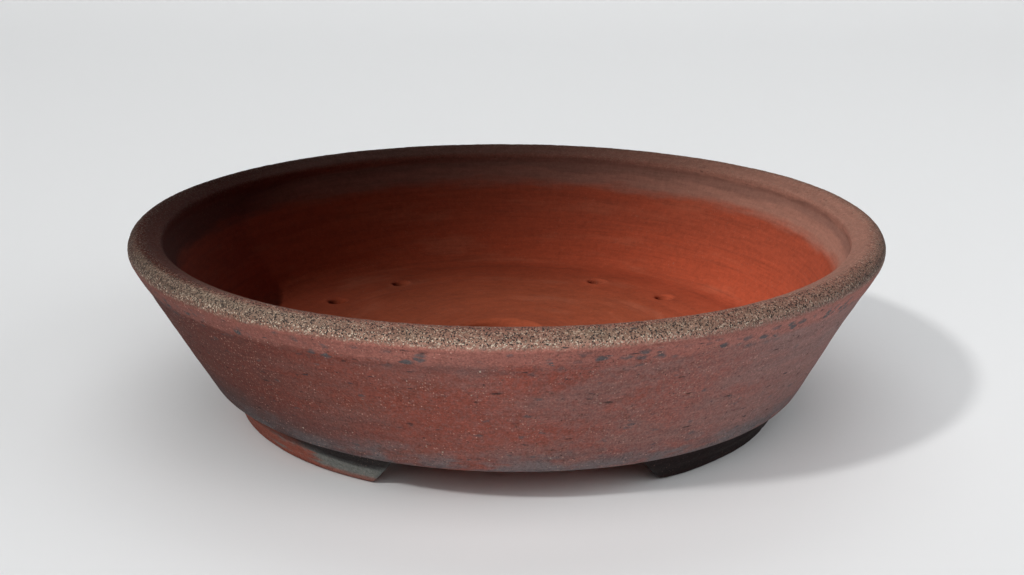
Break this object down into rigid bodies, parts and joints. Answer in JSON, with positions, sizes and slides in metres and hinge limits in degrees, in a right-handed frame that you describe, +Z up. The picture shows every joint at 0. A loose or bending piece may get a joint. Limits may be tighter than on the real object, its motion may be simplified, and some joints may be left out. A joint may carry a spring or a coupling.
{
  "type": "bonsai pot",
  "caption": "Round shallow unglazed clay bonsai pot with a flared wall, a heavy rounded rim, cut feet, a drain hole and tie-down wire holes.",
  "frame": {"origin": "on the table plane, under the centre of the rim", "axes": "+Z up along the pot's axis; -Y is the front, where the gap between two feet is; +X to the right of the front view"},
  "size_m": [0.2999, 0.3, 0.0742],
  "materials": {
    "rim_clay": "unglazed, matt, gritty, ash-grey over brown",
    "wall_clay": "unglazed, matt, red-brown with cream specks and grey clouding",
    "base_clay": "unglazed, matt, brick red",
    "foot_clay": "unglazed, matt, dark red-brown with grey streaks"
  },
  "bodies": {
    "root": {"rim": "rim_clay", "wall": "wall_clay", "base": "base_clay", "foot_left": "foot_clay", "foot_right": "foot_clay", "foot_back": "foot_clay"}
  },
  "joints": []
}
